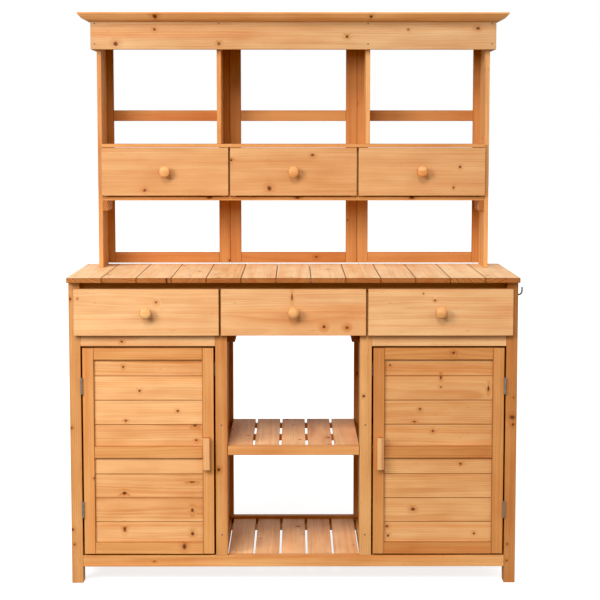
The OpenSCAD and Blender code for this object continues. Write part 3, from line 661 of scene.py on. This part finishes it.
def studio_world():
    """White to the camera, and a softer white as light."""
    world = bpy.data.worlds.new("studio")
    bpy.context.scene.world = world
    world.use_nodes = True
    world.node_tree.nodes.clear()
    g = Graph(world.node_tree)
    seen = g.node("ShaderNodeLightPath").outputs["Is Camera Ray"]
    strength = g.plus(g.times(seen, WORLD_SEEN - WORLD_LIGHT), WORLD_LIGHT)
    light = g.node("ShaderNodeBackground", {"Color": (1, 1, 1, 1), "Strength": strength})
    g.node("ShaderNodeOutputWorld", {"Surface": light.outputs[0]})


def sun(name, tilt, turn, spread, strength):
    """A soft sun: tilt is its angle from straight up and turn its angle round the bench."""
    data = bpy.data.lights.new(name, "SUN")
    data.angle = math.radians(spread)
    data.energy = strength
    made = link(name, data)
    made.rotation_euler = (math.radians(tilt), 0, math.radians(turn))


def soft_box(name, place, target, size, power):
    """A square light that faces its target."""
    data = bpy.data.lights.new(name, "AREA")
    data.size = size
    data.energy = power
    made = link(name, data)
    made.location = place
    made.rotation_euler = (Vector(target) - Vector(place)).to_track_quat("-Z", "Y").to_euler()


def lights():
    """A soft key from the left, a broad fill from the right and a weak light behind."""
    sun("key", tilt=46, turn=-14, spread=20, strength=1.82)
    sun("fill", tilt=62, turn=62, spread=60, strength=1.2)
    sun("back", tilt=50, turn=165, spread=60, strength=0.4)
    soft_box("left", place=(-2.6, -2.6, 2.4), target=(0, 0, 0.8), size=1.5, power=130)


CAMERA_PLACE = (0.0035, -4.3, 1.3)
CAMERA_DOWN = math.radians(5.0)
CAMERA_TURN = math.radians(-0.21)
LENS = 87.47
SENSOR = 36
SHIFT = -0.07


def camera():
    """The camera that sees the bench from the front, a little from above."""
    data = bpy.data.cameras.new("camera")
    made = link("camera", data)
    bpy.context.scene.camera = made
    data.sensor_width = SENSOR
    data.lens = LENS
    data.shift_y = SHIFT
    made.location = CAMERA_PLACE
    made.rotation_euler = (math.radians(90) - CAMERA_DOWN, 0, CAMERA_TURN)


BLACK_LEVEL = 0.008


def tone():
    """Plain colour, with the faint haze in the darkest shadows taken off."""
    settings = bpy.context.scene.view_settings
    settings.view_transform = "Standard"
    settings.use_curve_mapping = True
    settings.curve_mapping.black_level = [BLACK_LEVEL] * 3
    settings.curve_mapping.update()


# ---- Which wood is where ----

WOODS = {
    "honey": {"pale": (0.70, 0.36, 0.13), "deep": (0.46, 0.155, 0.035)},
    "drawer": {"pale": (0.71, 0.42, 0.195), "deep": (0.51, 0.20, 0.06), "variation": 0.08},
    "fascia": {"pale": (0.64, 0.40, 0.20), "deep": (0.44, 0.19, 0.06)},
    "leg": {"pale": (0.61, 0.31, 0.11), "deep": (0.41, 0.14, 0.03)},
    # A darker copy of the leg wood: painted shade for the right-hand leg, which the light from the
    # left leaves dimmer
    "leg_deep": {"pale": (0.53, 0.24, 0.075), "deep": (0.36, 0.11, 0.02)},
    "hutch_drawer": {"pale": (0.60, 0.33, 0.14), "deep": (0.43, 0.155, 0.04), "variation": 0.12},
    "door_frame": {"pale": (0.63, 0.30, 0.10), "deep": (0.42, 0.13, 0.025), "seam_stain_and_shade": 0.35},
    # A darker copy of the door frame wood: painted shade for the right-hand door, dimmer in the
    # light from the left
    "door_frame_deep": {"pale": (0.57, 0.255, 0.08), "deep": (0.38, 0.115, 0.02), "seam_stain_and_shade": 0.35},
    "door_board": {"pale": (0.75, 0.42, 0.18), "deep": (0.49, 0.175, 0.042), "variation": 0.35,
                   "seam_stain_and_shade": 0.6},
    # A darker copy of the door board wood: painted shade for the right-hand door, dimmer in the
    # light from the left
    "door_board_deep": {"pale": (0.66, 0.35, 0.14), "deep": (0.44, 0.15, 0.033),
                        "variation": 0.3, "seam_stain_and_shade": 0.6},
    "worktop": {"pale": (0.87, 0.61, 0.34), "deep": (0.62, 0.28, 0.095), "seam_stain_and_shade": 0.6,
                "edge_stain": 1.0},
    "inner": {"pale": (0.85, 0.50, 0.24), "deep": (0.54, 0.21, 0.065)},
    # Painted shade: a dark wood for the back frames, aprons, partitions and runners, which stand
    # back in shadow
    "dark": {"pale": (0.50, 0.215, 0.065), "deep": (0.36, 0.105, 0.02)},
    # Painted light: a paler wood that lifts the shade falling in the cornice's cove
    "cornice": {"pale": (0.85, 0.46, 0.18), "deep": (0.58, 0.21, 0.05)},
    "turned": {"pale": (0.78, 0.44, 0.18), "deep": (0.50, 0.18, 0.04), "knots": 0.0},
}
WOOD_OF_SLOT = {"frame_wood": "honey", "front_wood": "drawer", "worktop_wood": "worktop",
                "inner_wood": "inner"}
WOOD_OF_NODE = {
    # The right-hand leg takes the darker copy of the leg wood: painted shade for the dimmer right
    # side
    "leg_front_left": "leg", "leg_front_right": "leg_deep", "inner_posts": "leg",
    "hutch_fascia": "fascia",
    # The right-hand door's boards and frame take darker copies of their woods: painted shade for
    # the dimmer right side
    "door_left_boards": "door_board", "door_right_boards": "door_board_deep",
    "door_left_frame": "door_frame", "door_right_frame": "door_frame_deep",
    # The back frames, aprons, partitions and runners take the dark wood: painted shade for their
    # recessed places
    "hutch_back_frames": "dark", "aprons": "dark", "partition_boards": "dark",
    # The cornice takes a paler wood: painted light to lift the shade in its cove
    "drawer_runners": "dark", "hutch_cornice": "cornice",
    "hutch_drawer_left_front": "hutch_drawer", "hutch_drawer_centre_front": "hutch_drawer",
    "hutch_drawer_right_front": "hutch_drawer",
}

# Knots on the fronts: share of the node's width and height, radius in mm, height to width
KNOTS = {
    "drawer_left_front": ((0.57, 0.72, 4.5, 0.8), (0.03, 0.8, 2.5, 1)),
    "drawer_centre_front": ((0.49, 0.83, 2.6, 4), (0.71, 0.19, 5, 1), (0.87, 0.17, 5, 0.9)),
    "drawer_right_front": ((0.38, 0.9, 2, 1), (0.46, 0.76, 3, 1)),
    "leg_front_left": ((0.15, 0.945, 3.5, 1), (0.5, 0.956, 3.5, 1), (0.15, 0.52, 3, 1),
                       (0.1, 0.18, 4, 1.3), (0.25, 0.13, 3, 1)),
    "leg_front_right": ((0.6, 0.555, 8, 0.7), (0.65, 0.53, 4, 1), (0.3, 0.13, 3, 1),
                        (0.25, 0.075, 3, 1), (0.7, 0.62, 2, 1)),
    "inner_posts": ((0.02, 0.33, 5, 1), (0.95, 0.61, 4, 1)),
    "door_left_frame": ((0.08, 0.37, 3, 1), (0.77, 0.035, 6, 1.5)),
    "door_left_boards": ((0.27, 0.96, 3.5, 1), (0.42, 0.83, 3.5, 1), (0.77, 0.72, 3.5, 1),
                         (0.29, 0.666, 4, 0.7), (0.93, 0.64, 6, 0.6), (0.94, 0.56, 3.5, 0.8),
                         (0.27, 0.27, 6, 0.8), (0.9, 0.33, 9, 0.25), (0.9, 0.175, 4, 1.5),
                         (0.27, 0.07, 4, 2), (0.9, 0.045, 5, 1.2)),
    "door_right_frame": ((0.61, 0.975, 5, 0.8),),
    "door_right_boards": ((0.05, 0.97, 3.5, 0.9), (0.52, 0.9, 3, 2), (0.52, 0.85, 3, 1),
                          (0.96, 0.84, 3, 3), (0.33, 0.73, 4, 0.9), (0.28, 0.66, 4, 0.6),
                          (0.45, 0.61, 4, 0.9), (0.71, 0.43, 4, 0.9), (0.27, 0.18, 6, 0.8),
                          (0.03, 0.085, 4, 1), (0.04, 0.033, 4, 1), (0.84, 0.045, 3.5, 1)),
    "hutch_fascia": ((0.158, 0.72, 4.5, 0.9), (0.062, 0.2, 7, 0.9), (0.316, 0.2, 5, 0.9),
                     (0.783, 0.72, 3, 1), (0.632, 0.46, 5, 0.8), (0.954, 0.76, 6, 0.7)),
    "hutch_cornice": ((0.18, 0.5, 7, 0.9), (0.68, 0.5, 5, 0.9)),
    "hutch_drawer_left_front": ((0.34, 0.11, 5, 0.9),),
    "hutch_drawer_centre_front": ((0.01, 0.74, 4, 1), (0.31, 0.15, 7, 1), (0.65, 0.85, 5, 0.7)),
    "hutch_drawer_right_front": ((0.75, 0.17, 3.5, 1.2), (0.8, 0.6, 4, 1)),
    "hutch_drawer_board": ((0.28, 0.7, 8, 0.5), (0.51, 0.7, 7, 0.5), (0.81, 0.7, 8, 0.5)),
}


def placed_knots(node_name):
    """The node's knots in metres: x, z, radius in mm, height to width."""
    low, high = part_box(node_name)
    size = high - low
    return [(low.x + x * size.x, low.z + z * size.z, radius, tall)
            for x, z, radius, tall in KNOTS[node_name]]


def wood_for(node_name, slot, group, made):
    """The wood of a node, which is its own if the node has placed knots."""
    look = WOOD_OF_NODE.get(node_name, WOOD_OF_SLOT[slot])
    if node_name in KNOTS:
        settings = {**WOODS[look], "knots": 0.0, "spots": placed_knots(node_name)}
        return wood_material(look + "_" + node_name, group, **settings)
    if look not in made:
        made[look] = wood_material(look, group, **WOODS[look])
    return made[look]


def dress():
    """Gives every CAD node its finish, and turns the knobs."""
    boards = board_data_group()
    softwood = wood_group()
    turned = wood_material("turned", softwood, **WOODS["turned"])
    metals = {"zinc_steel": metal_material("zinc_steel", **ZINC),
              "black_steel": metal_material("black_wire", **BLACK)}
    record = frame["record"]
    slots = {part["node"]: part["material_slot"] for part in record["subparts"]}
    body_of = {name: body for body, names in record["behaviour"]["bodies"].items()
               for name in names}
    shared = {}
    for name, node in nodes.items():
        slot = slots[name]
        if slot in metals:
            node.material_slots[0].material = metals[slot]
        elif slot == "turned_wood":
            knob(name, body_of[name], turned)
        else:
            node.material_slots[0].material = wood_for(name, slot, softwood, shared)
            finish_boards(node, boards)
    nail_heads(metal_material("nail_steel", **NAIL))


camera()
floor()
studio_world()
lights()
tone()
dress()
